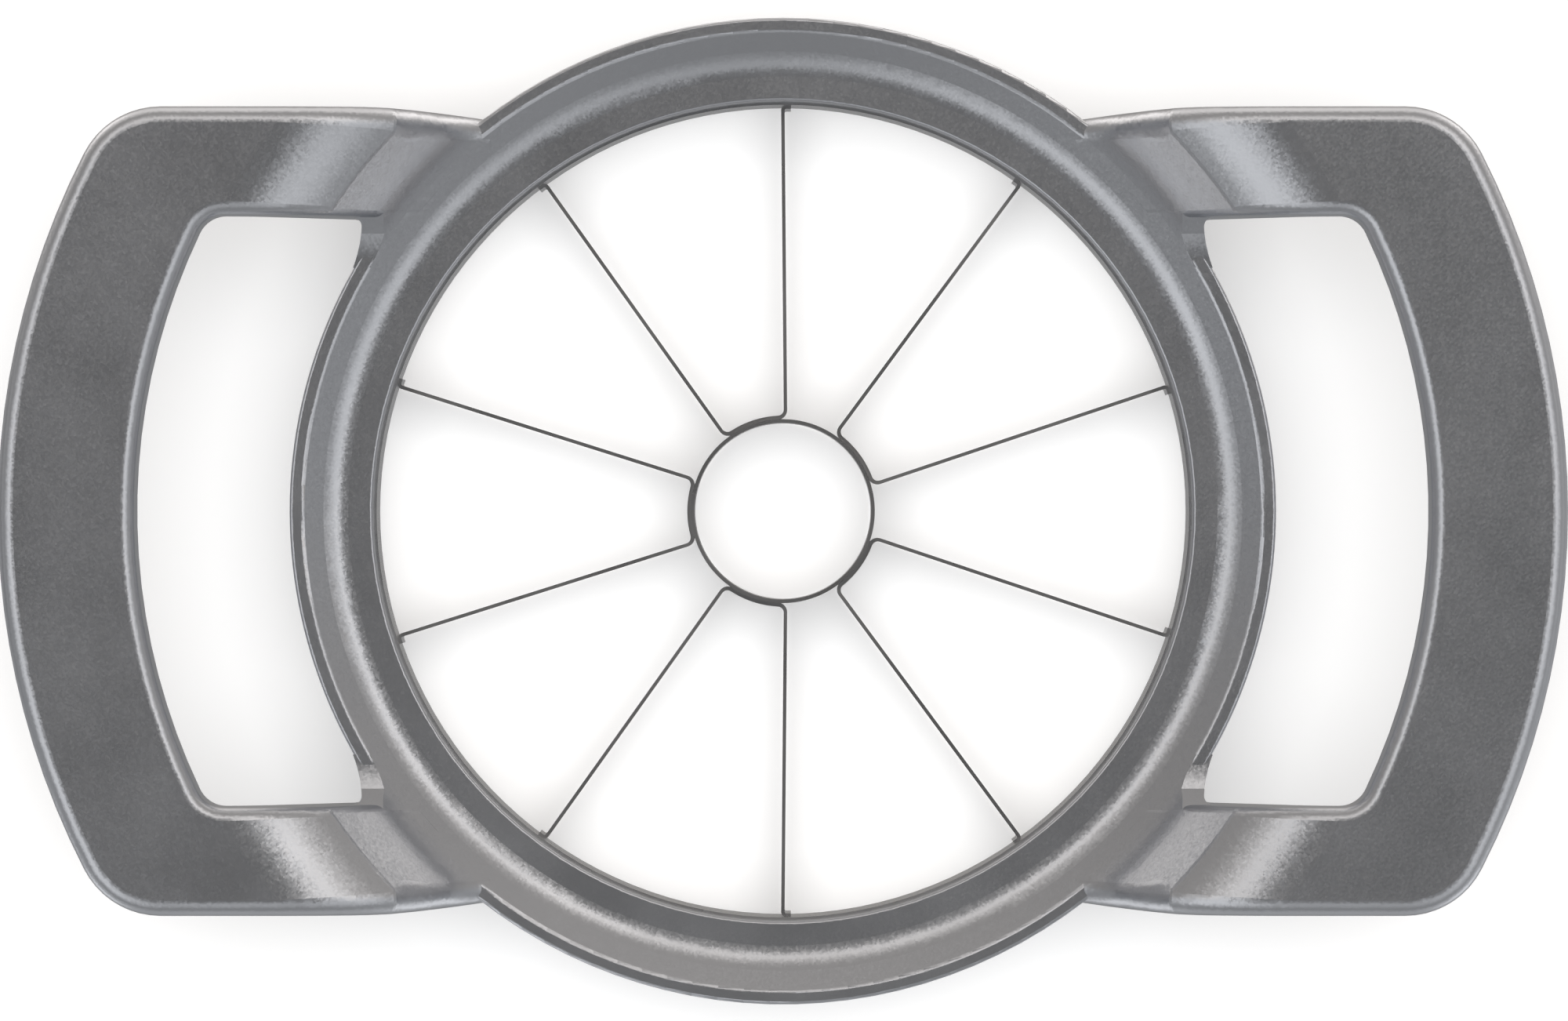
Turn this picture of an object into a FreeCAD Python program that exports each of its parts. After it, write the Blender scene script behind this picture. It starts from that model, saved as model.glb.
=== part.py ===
"""Hand-pressed apple corer and wedger, in millimetres.

One die-cast aluminium frame holds a pressed-in steel blade cartridge: an outer hoop, a core ring and
five folded blade strips welded between them.  Z is the axis of the ring, +X points to the right
handle, and the base rim stands on z = 0.
"""

import FreeCAD, Part

import math
import os

Vector = FreeCAD.Vector
ORIGIN = Vector(0, 0, 0)
UP = Vector(0, 0, 1)
OUT_FOLDER = "parts"

# ---- blade cartridge --------------------------------------------------------------------------
STRIP_COUNT = 5             # each strip makes two blades
FIRST_STRIP_ANGLE = 36.0    # degrees from +X to the middle of the first strip
BLADE_THICKNESS = 0.4
BLADE_BASE_Z = 0.8          # cutting edges, above the base
BLADE_HEIGHT = 10.6
SADDLE_BEND_R = 0.9         # middle-line radius of the folds at the core
FOOT_BEND_R = 0.4           # and of the folds at the hoop
FOOT_LENGTH = 0.5           # foot that lies on the hoop, past its fold
BLADE_SPLAY = 0.3           # how far a blade stands off its radial line at the core
BEVEL_HEIGHT = 1.2          # ground bevel above a cutting edge
CUTTING_EDGE = 0.06         # width left at a cutting edge
CORE_R = 10.4               # outside of the core ring
CORE_WALL = 0.4
CORE_DROP = 0.3             # the core ring starts this far below the blades' cutting edges
CORE_RISE = 1.2             # and ends this far above their tops
HOOP_INNER_R = 45.95
HOOP_WALL = 0.5
HOOP_INSET = 0.2            # the hoop starts this far above the cutting edges
HOOP_RISE = 1.0             # and ends this far above the blades' tops
WELD_GAP = 0.02             # left between faces that are welded together

# ---- cast ring --------------------------------------------------------------------------------
BORE_STEP = 0.2             # the bore above the hoop is this much smaller, as a stop for it
LIP_HEIGHT = 4.0            # from the hoop's top to the ledge round the bore
LEDGE_WIDTH = 2.75
DISH_WIDTH = 5.0            # from the ledge up to the crest
DISH_ARC_R = 4.5            # hollow between the ledge and the dish's slope
DISH_TILT = 38.0            # degrees
RIM_WIDTH = 1.5             # flat rim outside the crest
RIM_ROUND = 0.35
CREST_ROUND = 0.7
BORE_ROUND = 0.35
SKIRT_WALL = 2.3
SEAT_WALL = 2.4             # wall between the hoop and the hollow underside
RING_SKIN = 3.0             # metal between the ledge and the hollow underside
BASE_ROUND = 0.5

# ---- handles ----------------------------------------------------------------------------------
OPENING_DEPTH = 16.8        # hand opening, from the ring out to the grip
GRIP_WIDTH = 15.2
HANDLE_HALF_WIDTH = 45.1
OUTER_CORNER_R = 9.6
WAIST_LENGTH = 14.3         # last stretch of the arm's side, which draws in to the ring
WAIST_DEPTH = 1.0
WINDOW_HALF_WIDTH = 33.0
WINDOW_CORNER_R = 3.3
FOOT_RUN = 2.5              # hollow at the foot of the arm, outwards from the crest
STEEP_RUN = 3.9             # steep cone above it
STEEP_TILT = 60.0           # degrees
CREASE_ROUND = 1.5          # between the cone and the shoulder
SHOULDER_RUN = 10.6         # rounded shoulder from the cone to the flat of the grip
SHOULDER_TILT = 38.0        # degrees, the shoulder's slope where it leaves the cone
GRIP_DEPTH = 9.0            # height of the grip's sides
ARM_BASE_Z = 8.0            # underside of the arm at the ring
UNDER_ARC_R = 6.0
UNDER_TILT = 56.0           # degrees
HANDLE_WALL = 2.6
HANDLE_SKIN = 3.0           # metal above the hollow underside
TOP_ROUND = 1.8             # upper outside edges
WINDOW_ROUND = 1.5          # upper edges of the hand opening
LOWER_ROUND = 0.8
WEB_R = 15.5                # web that widens the rim where it meets an arm
WEB_CORNER_R = 1.0          # corner between a web and the arm's side
RAMP_R = 13.0               # hollow in which the rim climbs towards the arm
RAMP_RUN = 3.8
RAMP_END_RUN = 1.8          # steeper last stretch, up to the arm's side
RAMP_END_TILT = 34.0        # degrees
ROOT_OVERLAP = 1.0          # how far the arms' solids reach into the ring
ROOT_RISE = 0.05            # how far an arm's top lies above the dish's slope there
WEB_SINK = 0.05             # how far a web lies below the faces that it runs into

# ---- worked out -------------------------------------------------------------------------------
STRIP_PITCH = 360.0 / STRIP_COUNT
LEG_ANGLE = STRIP_PITCH / 4.0
BLADE_TOP_Z = BLADE_BASE_Z + BLADE_HEIGHT
CORE_BASE_Z = BLADE_BASE_Z - CORE_DROP
CORE_TOP_Z = BLADE_TOP_Z + CORE_RISE
HOOP_OUTER_R = HOOP_INNER_R + HOOP_WALL
HOOP_BASE_Z = BLADE_BASE_Z + HOOP_INSET
HOOP_TOP_Z = BLADE_TOP_Z + HOOP_RISE
BORE_R = HOOP_OUTER_R - BORE_STEP
LEDGE_Z = HOOP_TOP_Z + LIP_HEIGHT
LEDGE_OUTER_R = BORE_R + LEDGE_WIDTH
CREST_R = LEDGE_OUTER_R + DISH_WIDTH
RING_R = CREST_R + RIM_WIDTH
ROOT_R = CREST_R - ROOT_OVERLAP
FOOT_R = CREST_R + FOOT_RUN
CREASE_R = FOOT_R + STEEP_RUN
PLATEAU_R = CREASE_R + SHOULDER_RUN
GRIP_INNER_R = RING_R + OPENING_DEPTH
HANDLE_R = GRIP_INNER_R + GRIP_WIDTH
FAR_ABOVE = HANDLE_R        # past every face of the part, for cutting
FAR_BELOW = -HANDLE_R

# ---- tests that pick edges --------------------------------------------------------------------
UPRIGHT = 0.02              # most that an upright wall's normal leans, as a sine
SLOPED = 0.3                # least that an upper or lower face's normal leans
NEAR = 0.1                  # mm, round an outline
MATCH = 0.0001              # mm, the same place


def polar(radius, degrees, z=0.0):
    """The point at this radius and angle about Z."""
    angle = math.radians(degrees)
    return Vector(radius * math.cos(angle), radius * math.sin(angle), z)


def angle_of(point):
    return math.degrees(math.atan2(point.y, point.x))


def at(radius, z):
    """A point of a turned profile, which is drawn in the XZ plane."""
    return Vector(radius, 0, z)


def line(start, end):
    return Part.LineSegment(start, end).toShape()


def arc(start, centre, end, radius):
    """The shorter arc from start to end about a centre."""
    outward = ((start + end) * 0.5 - centre).normalize()
    return Part.Arc(start, centre + outward * radius, end).toShape()


def closed(edges):
    """A closed wire of edges given in any order."""
    return Part.Wire(Part.__sortEdges__(edges))


def middle_of(edge):
    return edge.valueAt((edge.FirstParameter + edge.LastParameter) / 2)


def turned(wire):
    """The solid of revolution of a closed profile, with its seam at +Y."""
    face = Part.Face(wire)
    face.rotate(ORIGIN, UP, 90)
    return face.revolve(ORIGIN, UP, 360)


class Profile:
    """A chain of lines and tangent arcs in the XZ plane."""

    def __init__(self, radius, z):
        self.start = at(radius, z)
        self.here = self.start
        self.edges = []

    def line_to(self, radius, z):
        target = at(radius, z)
        self.edges.append(line(self.here, target))
        self.here = target

    def bend(self, arc_radius, tilt_from, tilt_to):
        """An arc that turns the outward slope from one tilt to another, in degrees."""
        side = 1.0 if tilt_to > tilt_from else -1.0
        first = math.radians(tilt_from)
        last = math.radians(tilt_to)
        centre = self.here + at(-math.sin(first), math.cos(first)) * (side * arc_radius)
        target = centre + at(math.sin(last), -math.cos(last)) * (side * arc_radius)
        self.edges.append(arc(self.here, centre, target, arc_radius))
        self.here = target

    def slope_to(self, radius, tilt):
        """A straight slope out to a radius."""
        rise = (radius - self.here.x) * math.tan(math.radians(tilt))
        self.line_to(radius, self.here.z + rise)


# ---- cast ring --------------------------------------------------------------------------------
def dish_profile():
    """The upper face of the ring, from the bore up to the crest."""
    profile = Profile(BORE_R, LEDGE_Z)
    profile.line_to(LEDGE_OUTER_R, LEDGE_Z)
    profile.bend(DISH_ARC_R, 0.0, DISH_TILT)
    profile.slope_to(CREST_R, DISH_TILT)
    return profile


RIM_Z = dish_profile().here.z


def cast_ring():
    """The dished ring with its skirt, the hoop's seat and the hollow underside."""
    hollow_inner_r = HOOP_OUTER_R + SEAT_WALL
    hollow_outer_r = RING_R - SKIRT_WALL
    hollow_top_z = LEDGE_Z - RING_SKIN
    profile = dish_profile()
    profile.line_to(RING_R, RIM_Z)
    profile.line_to(RING_R, 0)
    profile.line_to(hollow_outer_r, 0)
    profile.line_to(hollow_outer_r, hollow_top_z)
    profile.line_to(hollow_inner_r, hollow_top_z)
    profile.line_to(hollow_inner_r, 0)
    profile.line_to(HOOP_OUTER_R, 0)
    profile.line_to(HOOP_OUTER_R, HOOP_TOP_Z)
    profile.line_to(BORE_R, HOOP_TOP_Z)
    profile.line_to(BORE_R, LEDGE_Z)
    ring = turned(Part.Wire(profile.edges))
    rounds = (
        (BORE_R, LEDGE_Z, BORE_ROUND),
        (CREST_R, RIM_Z, CREST_ROUND),
        (RING_R, RIM_Z, RIM_ROUND),
        (RING_R, 0, BASE_ROUND),
        (hollow_outer_r, 0, BASE_ROUND),
        (hollow_inner_r, 0, BASE_ROUND),
        (hollow_outer_r, hollow_top_z, BASE_ROUND),
        (hollow_inner_r, hollow_top_z, BASE_ROUND),
    )
    for radius, z, size in rounds:
        ring = ring.makeFillet(size, circles_at(ring, radius, z))
    return ring


def circles_at(shape, radius, z):
    """The edges about Z that have this radius and height."""
    found = []
    for edge in shape.Edges:
        ends_match = all(
            math.isclose(math.hypot(point.x, point.y), radius, abs_tol=MATCH)
            and math.isclose(point.z, z, abs_tol=MATCH)
            for point in (edge.valueAt(edge.FirstParameter), middle_of(edge))
        )
        if ends_match:
            found.append(edge)
    return found


# ---- handles ----------------------------------------------------------------------------------
def arm_top(start_radius):
    """The upper face from the dish's slope, up the arm and out to the grip's edge."""
    start_z = RIM_Z - (CREST_R - start_radius) * math.tan(math.radians(DISH_TILT)) + ROOT_RISE
    profile = Profile(start_radius, start_z)
    profile.slope_to(CREST_R, DISH_TILT)
    turn = math.sin(math.radians(STEEP_TILT)) - math.sin(math.radians(DISH_TILT))
    profile.bend((FOOT_R - CREST_R) / turn, DISH_TILT, STEEP_TILT)
    profile.slope_to(CREASE_R, STEEP_TILT)
    profile.bend(CREASE_ROUND, STEEP_TILT, SHOULDER_TILT)
    shoulder_run = PLATEAU_R - profile.here.x
    profile.bend(shoulder_run / math.sin(math.radians(SHOULDER_TILT)), SHOULDER_TILT, 0.0)
    return profile


HANDLE_TOP_Z = arm_top(ROOT_R).here.z


def arm_under(start_radius, end_radius):
    """The lower face, from the ring's skirt up to the flat underside of the grip."""
    rise = HANDLE_TOP_Z - GRIP_DEPTH - ARM_BASE_Z
    tilt = math.radians(UNDER_TILT)
    straight_rise = rise - 2 * UNDER_ARC_R * (1 - math.cos(tilt))
    straight_run = straight_rise / math.tan(tilt)
    arcs_run = 2 * UNDER_ARC_R * math.sin(tilt)
    profile = Profile(start_radius, ARM_BASE_Z)
    profile.line_to(GRIP_INNER_R - straight_run - arcs_run, ARM_BASE_Z)
    profile.bend(UNDER_ARC_R, 0.0, UNDER_TILT)
    profile.slope_to(profile.here.x + straight_run, UNDER_TILT)
    profile.bend(UNDER_ARC_R, UNDER_TILT, 0.0)
    profile.line_to(end_radius, profile.here.z)
    return profile


def arm_section(with_underside):
    """The turned section of an arm and grip, closed below by its underside or far below the base."""
    end_r = HANDLE_R + ROOT_OVERLAP
    top = arm_top(ROOT_R)
    top.line_to(end_r, top.here.z)
    if with_underside:
        under = arm_under(ROOT_R, end_r)
    else:
        under = Profile(ROOT_R, -HANDLE_TOP_Z)
        under.line_to(end_r, -HANDLE_TOP_Z)
    root = line(top.start, under.start)
    end = line(top.here, under.here)
    return closed(top.edges + under.edges + [root, end])


def rounded_end(outer_r, half_width, corner_r):
    """The right-hand end of a plan outline: two corners and an edge concentric with the ring."""
    centre_y = half_width - corner_r
    centre_r = outer_r - corner_r
    centre = Vector(math.sqrt(centre_r ** 2 - centre_y ** 2), centre_y, 0)
    side_point = Vector(centre.x, half_width, 0)
    end_point = polar(outer_r, angle_of(centre))
    corner = arc(side_point, centre, end_point, corner_r)
    outer_edge = arc(end_point, ORIGIN, mirror_point(end_point), outer_r)
    return side_point, [corner, outer_edge, mirrored_in_y(corner)]


def mirror_point(point):
    return Vector(point.x, -point.y, point.z)


def mirrored_in_y(shape):
    return shape.mirror(ORIGIN, Vector(0, 1, 0))


def on_side(shape, side):
    """The shape as drawn for side 1, or its mirror image for side -1."""
    return shape if side > 0 else shape.mirror(ORIGIN, Vector(1, 0, 0))


def handle_outline():
    """The right handle from above, run on into the ring.  Its sides draw in near the ring."""
    side_start, edges = rounded_end(HANDLE_R, HANDLE_HALF_WIDTH, OUTER_CORNER_R)
    ring_x = math.sqrt(RING_R ** 2 - (HANDLE_HALF_WIDTH - WAIST_DEPTH) ** 2)
    waist_r = (WAIST_LENGTH ** 2 + WAIST_DEPTH ** 2) / (2 * WAIST_DEPTH)
    waist_start = Vector(ring_x + WAIST_LENGTH, HANDLE_HALF_WIDTH, 0)
    waist_centre = waist_start - Vector(0, waist_r, 0)
    inner_x = ring_x - WAIST_LENGTH / 2
    drop = waist_r - math.sqrt(waist_r ** 2 - (waist_start.x - inner_x) ** 2)
    waist_end = Vector(inner_x, HANDLE_HALF_WIDTH - drop, 0)
    side = [line(side_start, waist_start), arc(waist_start, waist_centre, waist_end, waist_r)]
    other_side = [mirrored_in_y(edge) for edge in side]
    closing = line(waist_end, mirror_point(waist_end))
    return closed(edges + side + other_side + [closing])


def gap_outline():
    """The gap between the two arms from above, run on into the ring."""
    side_start, edges = rounded_end(GRIP_INNER_R, WINDOW_HALF_WIDTH, WINDOW_CORNER_R)
    inner = Vector(WINDOW_HALF_WIDTH, WINDOW_HALF_WIDTH, 0)
    side = line(side_start, inner)
    closing = line(inner, mirror_point(inner))
    return closed(edges + [side, mirrored_in_y(side), closing])


def raised(wire):
    """An upright solid over a plan outline, past every face of the part."""
    solid = Part.Face(wire).extrude(UP * (FAR_ABOVE - FAR_BELOW))
    solid.translate(UP * FAR_BELOW)
    return solid


def wall_edges(shape, side):
    """Edges where an upright wall meets an upper (side 1) or a lower (side -1) face.

    The arm's root, which lies inside the ring, is left out.
    """
    found = []
    for edge in shape.Edges:
        point = middle_of(edge)
        slopes = []
        for face in shape.ancestorsOfType(edge, Part.Face):
            u, v = face.Surface.parameter(point)
            slopes.append(face.normalAt(u, v).z)
        has_wall = any(abs(slope) < UPRIGHT for slope in slopes)
        has_face = any(slope * side > SLOPED for slope in slopes)
        if has_wall and has_face and not is_at_root(point):
            found.append(edge)
    return found


def is_at_root(point):
    return math.hypot(point.x, point.y) < ROOT_R + NEAR


def is_at_window(point):
    inside_grip = math.hypot(point.x, point.y) < GRIP_INNER_R + NEAR
    return inside_grip and abs(point.y) < WINDOW_HALF_WIDTH + NEAR


def arm_blank():
    return turned(arm_section(True))


def solid_handle(side):
    """Arms and grip in one: a turned section cut to its plan outline, with rounded edges."""
    outline = raised(on_side(handle_outline(), side))
    gap = raised(on_side(gap_outline(), side))
    body = arm_blank().common(outline)
    body = body.makeFillet(TOP_ROUND, wall_edges(body, 1))
    body = body.cut(gap)
    window_edges = [edge for edge in wall_edges(body, 1) if is_at_window(middle_of(edge))]
    body = body.makeFillet(WINDOW_ROUND, window_edges)
    return body.makeFillet(LOWER_ROUND, wall_edges(body, -1))


def ramp_section():
    """The web from its end: a rim-high block whose top climbs a hollow towards the arm."""
    foot = Vector(0, WINDOW_HALF_WIDTH - RAMP_RUN - RAMP_END_RUN, RIM_Z - WEB_SINK)
    centre = foot + UP * RAMP_R
    bend = centre + Vector(0, RAMP_RUN, -math.sqrt(RAMP_R ** 2 - RAMP_RUN ** 2))
    end_slope = Vector(0, 1, math.tan(math.radians(RAMP_END_TILT)))
    inside_arm = bend + end_slope * (RAMP_END_RUN + WINDOW_ROUND)
    base_z = ARM_BASE_Z + LOWER_ROUND + WEB_SINK
    corners = [bend, inside_arm, Vector(0, inside_arm.y, base_z), Vector(0, foot.y, base_z), foot]
    sides = [line(start, end) for start, end in zip(corners, corners[1:])]
    return closed(sides + [arc(foot, centre, bend, RAMP_R)])


def hand_space(centre):
    """The air beside a web: a half disc against the arm's side, with rounded corners."""
    reach = Vector(WEB_R, 0, 0)
    half_disc = closed([
        Part.Arc(centre - reach, centre - Vector(0, WEB_R, 0), centre + reach).toShape(),
        line(centre + reach, centre - reach),
    ])
    return raised(half_disc.makeOffset2D(-WEB_CORNER_R).makeOffset2D(WEB_CORNER_R))


def web():
    """The rim's widening beside the right window at +Y, with the ramp that climbs to the arm."""
    centre_r = RING_R + WEB_R - WEB_SINK
    centre = Vector(math.sqrt(centre_r ** 2 - WINDOW_HALF_WIDTH ** 2), WINDOW_HALF_WIDTH, 0)
    ramp = Part.Face(ramp_section()).extrude(Vector(centre.x, 0, 0))
    below_arm_top = arm_blank()
    below_arm_top.translate(UP * -WEB_SINK)
    beside_arm = Part.makeBox(WEB_R, FAR_ABOVE, FAR_ABOVE, centre - Vector(WEB_R, 0, 0))
    return below_arm_top.common(ramp).cut(hand_space(centre)).cut(beside_arm)


def hollow_under_handle(side):
    """The space cored out of the underside, one skin below the top and one wall inside the sides."""
    inner_outline = on_side(handle_outline().makeOffset2D(-HANDLE_WALL), side)
    outer_gap = on_side(gap_outline().makeOffset2D(HANDLE_WALL), side)
    section = arm_section(False).makeOffset2D(-HANDLE_SKIN, 2)
    space = turned(section).common(raised(inner_outline)).cut(raised(outer_gap))
    ring_space = Part.makeCylinder(RING_R, FAR_ABOVE - FAR_BELOW, UP * FAR_BELOW)
    return space.cut(ring_space)


def cast_frame():
    """The ring, both handles and the four webs as one casting."""
    frame = cast_ring()
    for side in (1, -1):
        handle = solid_handle(side).cut(hollow_under_handle(side)).Solids[0]
        upper_web = on_side(web(), side).Solids[0]
        for piece in (handle, upper_web, mirrored_in_y(upper_web)):
            frame = frame.fuse(piece)
    return frame.removeSplitter().Solids[0]


# ---- blade cartridge --------------------------------------------------------------------------
class StripLine:
    """The middle line of one folded strip from above, drawn with the strip's middle on +X.

    The saddle hugs the core ring, a blade runs out on either side, and a foot at the end of each
    blade turns away from the strip's middle and lies on the hoop.
    """

    def __init__(self):
        self.saddle_r = CORE_R + WELD_GAP + BLADE_THICKNESS / 2
        self.foot_r = HOOP_INNER_R - WELD_GAP - BLADE_THICKNESS / 2
        splay_angle = math.degrees(BLADE_SPLAY / self.saddle_r)
        inner = polar(self.saddle_r, LEG_ANGLE + splay_angle)
        outer = polar(self.foot_r, LEG_ANGLE)
        self.along = (outer - inner).normalize()
        self.away = Vector(-self.along.y, self.along.x, 0)
        self.saddle_bend = self.bend_centre(inner, -SADDLE_BEND_R, self.saddle_r + SADDLE_BEND_R)
        self.foot_bend = self.bend_centre(inner, FOOT_BEND_R, self.foot_r - FOOT_BEND_R)
        self.saddle_angle = angle_of(self.saddle_bend)
        self.foot_angle = angle_of(self.foot_bend)
        self.end_angle = self.foot_angle + math.degrees(FOOT_LENGTH / self.foot_r)

    def bend_centre(self, on_blade, sideways, radius):
        """The point this far to the side of the blade's line and this far from the Z axis."""
        start = on_blade + self.away * sideways
        along = start.dot(self.along)
        return start + self.along * (math.sqrt(along ** 2 + radius ** 2 - start.dot(start)) - along)

    def half_side(self, offset):
        """One face of the strip, from the saddle's middle to the end of a foot.

        A positive offset lies on the outside of the saddle and on the hoop's side of the foot.
        """
        saddle_end = polar(self.saddle_r + offset, self.saddle_angle)
        blade_start = self.saddle_bend + self.away * (SADDLE_BEND_R - offset)
        blade_end = self.foot_bend - self.away * (FOOT_BEND_R + offset)
        foot_start = polar(self.foot_r + offset, self.foot_angle)
        foot_end = polar(self.foot_r + offset, self.end_angle)
        middle = polar(self.saddle_r + offset, 0)
        return [
            arc(middle, ORIGIN, saddle_end, self.saddle_r + offset),
            arc(saddle_end, self.saddle_bend, blade_start, SADDLE_BEND_R - offset),
            line(blade_start, blade_end),
            arc(blade_end, self.foot_bend, foot_start, FOOT_BEND_R + offset),
            arc(foot_start, ORIGIN, foot_end, self.foot_r + offset),
        ]

    def section(self, thickness, z):
        """The strip's closed outline at this thickness and height."""
        sides = self.half_side(thickness / 2) + self.half_side(-thickness / 2)
        sides += [mirrored_in_y(edge) for edge in sides]
        inner_end = polar(self.foot_r - thickness / 2, self.end_angle)
        outer_end = polar(self.foot_r + thickness / 2, self.end_angle)
        end = line(inner_end, outer_end)
        wire = closed(sides + [end, mirrored_in_y(end)])
        wire.translate(UP * z)
        return wire


def blade_strip(number):
    """A folded strip with a bevel ground on its lower edge."""
    strip_line = StripLine()
    bevel_z = BLADE_BASE_Z + BEVEL_HEIGHT
    full = strip_line.section(BLADE_THICKNESS, bevel_z)
    edge = strip_line.section(CUTTING_EDGE, BLADE_BASE_Z)
    body = Part.Face(full).extrude(UP * (BLADE_TOP_Z - bevel_z))
    bevel = Part.makeLoft([edge, full], True, True)
    strip = body.fuse(bevel).removeSplitter().Solids[0]
    strip.rotate(ORIGIN, UP, FIRST_STRIP_ANGLE + number * STRIP_PITCH)
    return strip


def core_ring():
    """The short tube that cuts out the core, bevelled from outside at its lower edge."""
    inner_r = CORE_R - CORE_WALL
    profile = Profile(inner_r, CORE_BASE_Z)
    profile.line_to(inner_r + CUTTING_EDGE, CORE_BASE_Z)
    profile.line_to(CORE_R, CORE_BASE_Z + BEVEL_HEIGHT)
    profile.line_to(CORE_R, CORE_TOP_Z)
    profile.line_to(inner_r, CORE_TOP_Z)
    profile.line_to(inner_r, CORE_BASE_Z)
    return turned(Part.Wire(profile.edges))


def blade_hoop():
    """The band pressed into the casting, which holds the feet of the strips."""
    profile = Profile(HOOP_INNER_R, HOOP_BASE_Z)
    profile.line_to(HOOP_OUTER_R, HOOP_BASE_Z)
    profile.line_to(HOOP_OUTER_R, HOOP_TOP_Z)
    profile.line_to(HOOP_INNER_R, HOOP_TOP_Z)
    profile.line_to(HOOP_INNER_R, HOOP_BASE_Z)
    return turned(Part.Wire(profile.edges))


def save(name, shape):
    shape.exportStep(os.path.join(OUT_FOLDER, name + ".step"))
    print(name, "valid" if shape.isValid() else "NOT VALID", round(shape.Volume, 1), "mm3")


def main():
    os.makedirs(OUT_FOLDER, exist_ok=True)
    save("cast_frame", cast_frame())
    save("blade_hoop", blade_hoop())
    save("core_ring", core_ring())
    for number in range(STRIP_COUNT):
        save("blade_strip_%d" % (number + 1), blade_strip(number))


main()
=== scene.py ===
import bmesh
import bpy
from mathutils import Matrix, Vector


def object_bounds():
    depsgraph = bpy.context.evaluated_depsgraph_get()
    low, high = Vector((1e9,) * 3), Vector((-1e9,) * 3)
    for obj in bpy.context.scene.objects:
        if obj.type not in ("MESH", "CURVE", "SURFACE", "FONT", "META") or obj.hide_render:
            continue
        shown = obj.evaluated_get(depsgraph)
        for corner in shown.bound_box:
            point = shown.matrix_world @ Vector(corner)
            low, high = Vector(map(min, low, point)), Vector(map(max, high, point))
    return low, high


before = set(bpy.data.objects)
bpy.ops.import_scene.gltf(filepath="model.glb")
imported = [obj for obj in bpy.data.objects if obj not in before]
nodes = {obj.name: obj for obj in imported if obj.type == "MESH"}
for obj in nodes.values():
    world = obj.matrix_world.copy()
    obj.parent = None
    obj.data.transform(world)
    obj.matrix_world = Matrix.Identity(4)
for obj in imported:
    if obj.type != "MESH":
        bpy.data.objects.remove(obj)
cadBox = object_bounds()
print("frame loaded:", len(nodes), "pieces")


# shader maths: a socket that takes part in Python expressions
class Shade:
    def __init__(self, recipe, output):
        self.recipe = recipe
        self.output = output

    def maths(self, operation, first, second=0.0, clamp=False):
        settings = {"operation": operation, "use_clamp": clamp}
        return self.recipe.node("ShaderNodeMath", settings, {0: first, 1: second})

    def __add__(self, other):
        return self.maths("ADD", self, other)

    def __radd__(self, other):
        return self.maths("ADD", other, self)

    def __sub__(self, other):
        return self.maths("SUBTRACT", self, other)

    def __rsub__(self, other):
        return self.maths("SUBTRACT", other, self)

    def __mul__(self, other):
        return self.maths("MULTIPLY", self, other)

    def __rmul__(self, other):
        return self.maths("MULTIPLY", other, self)

    def __abs__(self):
        return self.maths("ABSOLUTE", self)

    def clamped(self):
        return self.maths("ADD", self, 0.0, clamp=True)


class Recipe:
    def __init__(self, owner):
        owner.use_nodes = True
        self.tree = owner.node_tree
        self.tree.nodes.clear()

    # any node: its settings first, then the values or links of its sockets
    def node(self, kind, settings=None, inputs=None, output=0):
        made = self.tree.nodes.new(kind)
        for key, value in (settings or {}).items():
            if key == "stops":
                ramp = made.color_ramp
                while len(ramp.elements) < len(value):
                    ramp.elements.new(1.0)
                for element, (place, colour) in zip(ramp.elements, value):
                    element.position = place
                    element.color = colour
            else:
                setattr(made, key, value)
        for key, value in (inputs or {}).items():
            if isinstance(value, Shade):
                self.tree.links.new(value.output, made.inputs[key])
            else:
                made.inputs[key].default_value = value
        return Shade(self, made.outputs[output]) if len(made.outputs) else None

    def coordinates(self, output="Object"):
        return self.node("ShaderNodeTexCoord", output=output)

    def parts(self, vector):
        split = self.node("ShaderNodeSeparateXYZ", None, {0: vector}).output.node
        return [Shade(self, split.outputs[axis]) for axis in range(3)]

    def noise(self, place, scale, detail=2.0, roughness=0.5):
        inputs = {"Vector": place, "Scale": scale, "Detail": detail, "Roughness": roughness}
        return self.node("ShaderNodeTexNoise", {"noise_dimensions": "3D"}, inputs)

    def scaled(self, place, scale):
        settings = {"vector_type": "POINT"}
        return self.node("ShaderNodeMapping", settings, {"Vector": place, "Scale": scale})

    def vectorMaths(self, operation, inputs):
        return self.node("ShaderNodeVectorMath", {"operation": operation}, inputs)

    def bump(self, height, depth):
        inputs = {"Strength": 1.0, "Distance": depth, "Height": height}
        return self.node("ShaderNodeBump", None, inputs)

    # sockets 6 and 7 and output 2 are the Mix node's colours
    def blended(self, factor, first, second):
        settings = {"data_type": "RGBA", "blend_type": "MIX"}
        return self.node("ShaderNodeMix", settings, {"Factor": factor, 6: first, 7: second}, 2)

    # a value that runs through (place, level) pairs
    def steps(self, factor, *stops):
        stops = [(place, grey(level)) for place, level in stops]
        return self.node("ShaderNodeValToRGB", {"stops": stops}, {"Fac": factor})

    def metal(self, colour, roughness, normal):
        inputs = {"Base Color": colour, "Metallic": 1.0, "Roughness": roughness, "Normal": normal}
        return self.node("ShaderNodeBsdfPrincipled", None, inputs)

    def finish(self, kind, shader):
        self.node(kind, None, {"Surface": shader})


def grey(level, tint=0.0):
    return (level * (1 - tint), level, level * (1 + tint), 1.0)


def newMaterial(name):
    material = bpy.data.materials.new(name)
    return material, Recipe(material)


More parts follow.
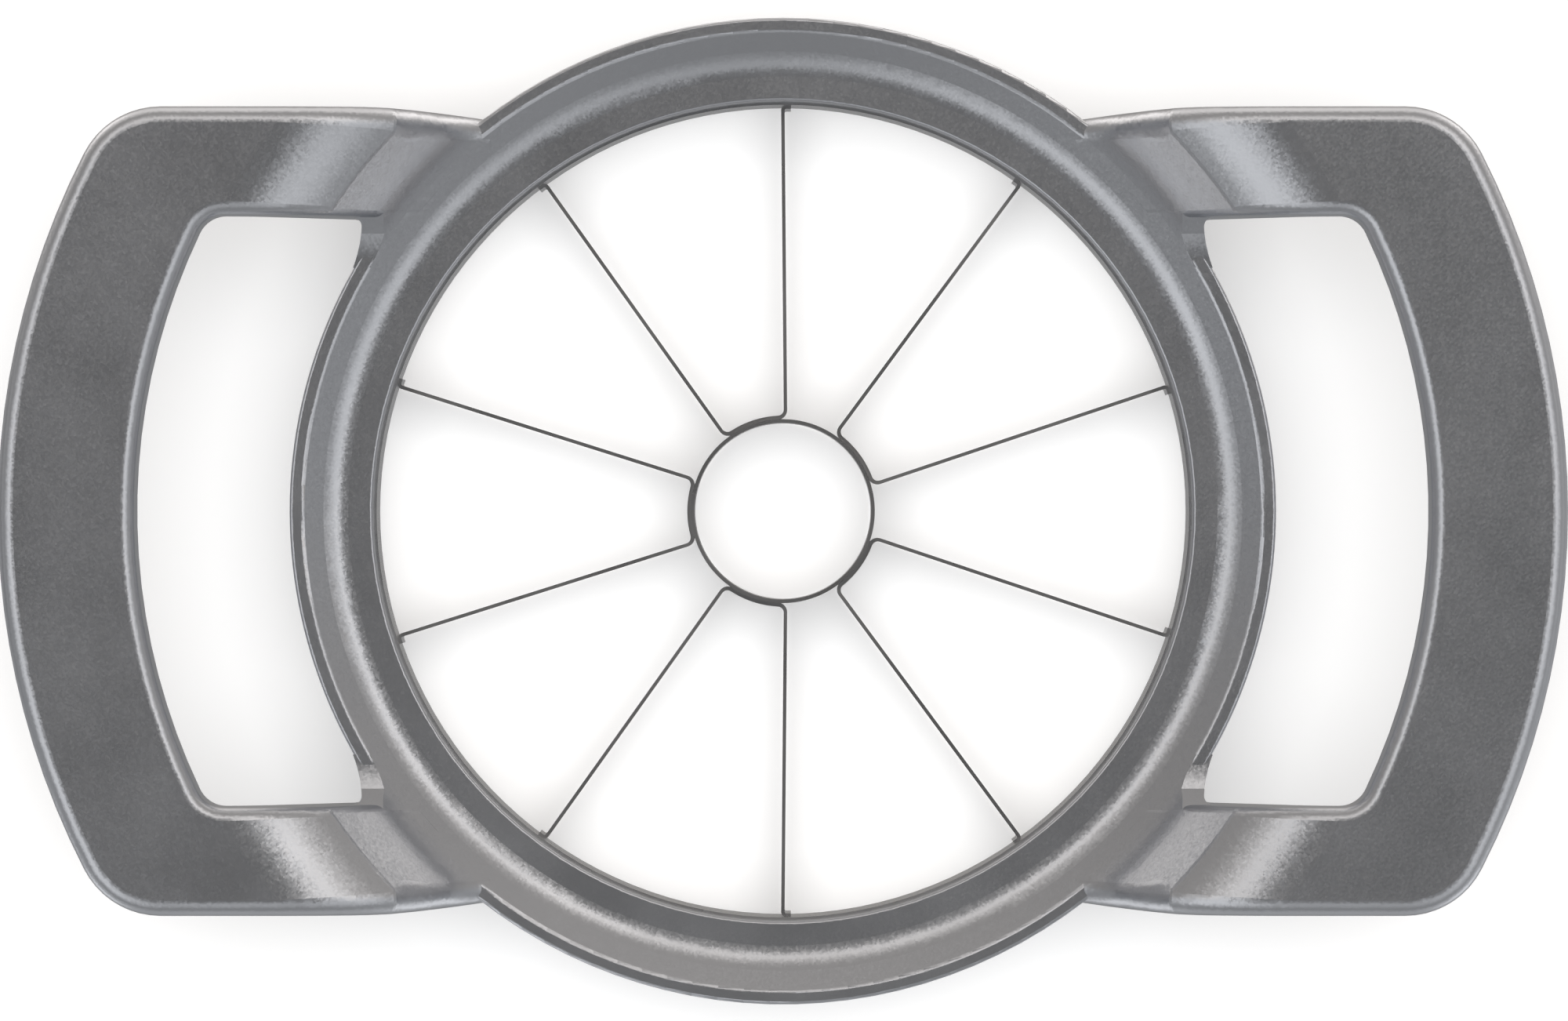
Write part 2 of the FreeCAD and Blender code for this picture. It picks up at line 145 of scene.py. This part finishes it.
# cast aluminium with a sand-grained grey lacquer
castFinish = {
    "colour": (0.562, 0.577, 0.61),
    "darkShare": 0.93,         # colour of the mottle's darker patches
    "roughness": 0.33,
    "roughnessSpread": 0.08,
    "grainScale": 2900.0,      # per metre
    "grainDepth": 0.000006,    # metres
    "sparkleScale": 4200.0,
    "sparkleTilt": 0.075,      # how far a flake leans the normal
    "mottleScale": 90.0,
    "noiseDetail": 3.0,
    "grainHarshness": 0.6,
}


def castAluminium():
    material, recipe = newMaterial("greyCastAluminium")
    place = recipe.coordinates()
    detail = castFinish["noiseDetail"]
    mottle = recipe.noise(place, castFinish["mottleScale"], detail)
    grain = recipe.noise(place, castFinish["grainScale"], detail, castFinish["grainHarshness"])
    flakes = recipe.node("ShaderNodeTexVoronoi", {"feature": "F1"},
                         {"Vector": place, "Scale": castFinish["sparkleScale"]}, "Color")
    softened = recipe.bump(grain, castFinish["grainDepth"])
    tilt = recipe.vectorMaths("SUBTRACT", {0: flakes, 1: (0.5, 0.5, 0.5)})      # to either side
    tilt = recipe.vectorMaths("SCALE", {0: tilt, "Scale": castFinish["sparkleTilt"]})
    normal = recipe.vectorMaths("NORMALIZE", {0: recipe.vectorMaths("ADD", {0: softened, 1: tilt})})
    dark = [castFinish["darkShare"] * channel for channel in castFinish["colour"]]
    colour = recipe.blended(mottle, (*castFinish["colour"], 1.0), (*dark, 1.0))
    rough = castFinish["roughness"] + (mottle - 0.5) * castFinish["roughnessSpread"]
    recipe.finish("ShaderNodeOutputMaterial", recipe.metal(colour, rough, normal))
    return material


# stainless blade strip
steelFinish = {
    "colour": (0.70, 0.70, 0.71, 1.0),
    "roughness": 0.28,
    "roughnessSpread": 0.12,
    "brushScale": 3500.0,
    "brushStretch": 0.02,      # the brush lines run level
    "brushDepth": 0.000006,
    "groundTop": 0.002,        # the ground bevel ends this high above the table
    "groundPolish": 0.1,       # how much smoother the ground bevel is
    "groundEdge": 8000.0,      # how sharply that finish ends, per metre
}


def bladeSteel():
    material, recipe = newMaterial("satinBladeSteel")
    place = recipe.coordinates()
    stretch = steelFinish["brushStretch"]
    lines = recipe.noise(recipe.scaled(place, (stretch, stretch, 1.0)), steelFinish["brushScale"])
    height = recipe.parts(place)[2]
    ground = ((steelFinish["groundTop"] - height) * steelFinish["groundEdge"]).clamped()
    rough = (steelFinish["roughness"] + (lines - 0.5) * steelFinish["roughnessSpread"]
             - ground * steelFinish["groundPolish"])
    normal = recipe.bump(lines, steelFinish["brushDepth"])
    recipe.finish("ShaderNodeOutputMaterial", recipe.metal(steelFinish["colour"], rough, normal))
    return material


cast = castAluminium()
steel = bladeSteel()
for name, node in nodes.items():
    node.data.materials[0] = cast if name == "cast_frame" else steel
print("finishes made")


# floor
floorSizes = {
    "halfWidth": 1.2,
    "albedo": 0.8,
    "roughness": 0.9,
    "glow": 0.25,
}


def makeFloor():
    mesh = bmesh.new()
    bmesh.ops.create_grid(mesh, x_segments=1, y_segments=1, size=floorSizes["halfWidth"])
    floor = bpy.data.objects.new("floor", bpy.data.meshes.new("floor"))
    mesh.to_mesh(floor.data)
    mesh.free()
    bpy.context.scene.collection.objects.link(floor)
    material, recipe = newMaterial("paleFloor")
    surface = recipe.node("ShaderNodeBsdfPrincipled", None,
                          {"Base Color": grey(floorSizes["albedo"]),
                           "Roughness": floorSizes["roughness"],
                           "Emission Color": grey(1.0),
                           "Emission Strength": floorSizes["glow"]})
    recipe.finish("ShaderNodeOutputMaterial", surface)
    floor.data.materials.append(material)
    floor.visible_glossy = False      # the metal mirrors the studio's tones, not the bare floor


makeFloor()


# light: levels of the studio's walls and softboxes
# a shape runs through (sine of the height above or below the horizon, share of its level)
studio = {
    "zenith": 0.02,
    "wall": 0.33,              # the grey walls round the table
    "upperWall": 0.198,        # the walls where they reach the ceiling
    "wallBackward": 0.15,      # how much brighter the walls get behind the table
    "wallRightward": 0.12,
    "below": 0.62,             # what the metal mirrors below the horizon
    "straightDown": 0.3,
    "wallSteps": ((0.0, "below"), (0.06, "below"), (0.16, "wall"), (0.5, "wall"),
                  (0.9, "upperWall"), (0.95, "zenith"), (1.0, "zenith")),
    "fadeStart": 0.55,         # where below starts to fade, and where straightDown is reached
    "fadeEnd": 0.95,
    "backBox": 1.25,           # narrow bright softbox ring behind the table
    "backBoxShape": ((0.55, 0.0), (0.78, 0.4), (0.84, 1.0), (0.92, 1.0), (0.95, 0.0)),
    "frontBox": 0.72,          # broader and dimmer in front
    "frontBoxShape": ((0.38, 0.0), (0.52, 0.35), (0.66, 0.85),
                      (0.84, 1.0), (0.915, 1.0), (0.945, 0.0)),
    "boxChange": 1.5,          # how fast one ring gives way to the other
    "boxBase": 0.55,           # the rings' brightness, and what each direction adds to it
    "boxBackward": 0.45,
    "boxSideways": 0.95,
    "boxDiagonal": 2.2,        # at the back on the right and in front on the left
    "backGlow": 1.2,           # white wall low behind the table
    "backGlowStart": 0.6,
    "backGlowFall": 3.5,
    "cornerGlow": 9.0,         # softboxes below the horizon at the four corners
    "cornerBackward": 0.4,
    "cornerStart": 0.25,       # how near the diagonal they start
    "cornerDepth": 0.2,        # how far below the horizon they start
    "cornerRise": 4.0,
    "sideShade": 1.3,          # darker low down at both sides
    "sideShadeStart": 0.72,
    "sideShadeRise": 6.0,
    "backWarmth": 0.06,        # how much warmer the light from behind is
    "warmthRise": 2.0,
    "warmthLevel": 0.1,        # share of that warmth at the sides
    "floorLight": 23.0,        # watts of the overhead softbox that lights the floor alone
    "floorLightWidth": 1.6,
    "floorLightHeight": 1.6,
}


def shaped(name):
    return [(place, share * studio[name]) for place, share in studio[name + "Shape"]]


def makeStudio():
    world = bpy.data.worlds.new("studio")
    bpy.context.scene.world = world
    recipe = Recipe(world)
    x, y, z = recipe.parts(recipe.coordinates("Generated"))
    down = 0 - z
    walls = recipe.steps(z, *[(place, studio[level]) for place, level in studio["wallSteps"]])
    fade = recipe.steps(down, (studio["fadeStart"], 1.0),
                        (studio["fadeEnd"], studio["straightDown"] / studio["below"]))
    lean = 1.0 + y * studio["wallBackward"] + x * studio["wallRightward"]

    behind = (y * studio["boxChange"] + 0.5).clamped()
    back = recipe.steps(z, *shaped("backBox"))
    front = recipe.steps(z, *shaped("frontBox"))
    rings = behind * back + (1 - behind) * front
    boxes = rings * (studio["boxBase"] + y * studio["boxBackward"] + abs(x) * studio["boxSideways"]
                     + (x * y).clamped() * studio["boxDiagonal"])

    glowHeight = (1 - z * studio["backGlowFall"]).clamped()
    backGlow = (y - studio["backGlowStart"]).clamped() * glowHeight * studio["backGlow"]
    nearDiagonal = (abs(x * y) - studio["cornerStart"]).clamped()
    lowEnough = ((down - studio["cornerDepth"]) * studio["cornerRise"]).clamped()
    corners = nearDiagonal * lowEnough * (1 + y * studio["cornerBackward"]) * studio["cornerGlow"]
    atSides = (abs(x) - studio["sideShadeStart"]).clamped()
    sideShade = atSides * (down * studio["sideShadeRise"]).clamped() * studio["sideShade"]
    light = walls * fade * lean + backGlow + corners - sideShade + boxes

    fromBack = (y * studio["warmthRise"] + studio["warmthLevel"]).clamped()
    colour = recipe.blended(fromBack, grey(1.0), grey(1.0, -studio["backWarmth"]))
    background = recipe.node("ShaderNodeBackground", None, {"Color": colour, "Strength": light})
    recipe.finish("ShaderNodeOutputWorld", background)

    softbox = bpy.data.lights.new("overhead", "AREA")
    softbox.shape = "DISK"
    softbox.size = studio["floorLightWidth"]
    softbox.energy = studio["floorLight"]
    lamp = bpy.data.objects.new("overhead", softbox)
    lamp.location = (0, 0, studio["floorLightHeight"])
    lamp.visible_glossy = False
    lamp.visible_camera = False
    bpy.context.scene.collection.objects.link(lamp)


makeStudio()
bpy.context.scene.view_settings.view_transform = "Standard"
print("floor and light made")


# camera, straight above
cameraPlace = {
    "distance": 1.25,          # above the handles' tops
    "frameWidth": 0.17448,     # metres across the picture at the handles' tops
    "sensorWidth": 36.0,       # millimetres
    "aimX": 0.00013,
    "aimY": 0.00007,
    "nearest": 0.01,
    "farthest": 20.0,
}


def makeCamera():
    data = bpy.data.cameras.new("camera")
    camera = bpy.data.objects.new("camera", data)
    bpy.context.scene.collection.objects.link(camera)
    top = cadBox[1].z
    camera.location = (cameraPlace["aimX"], cameraPlace["aimY"], top + cameraPlace["distance"])
    data.sensor_width = cameraPlace["sensorWidth"]
    data.lens = data.sensor_width * cameraPlace["distance"] / cameraPlace["frameWidth"]
    data.clip_start = cameraPlace["nearest"]
    data.clip_end = cameraPlace["farthest"]
    bpy.context.scene.camera = camera


makeCamera()
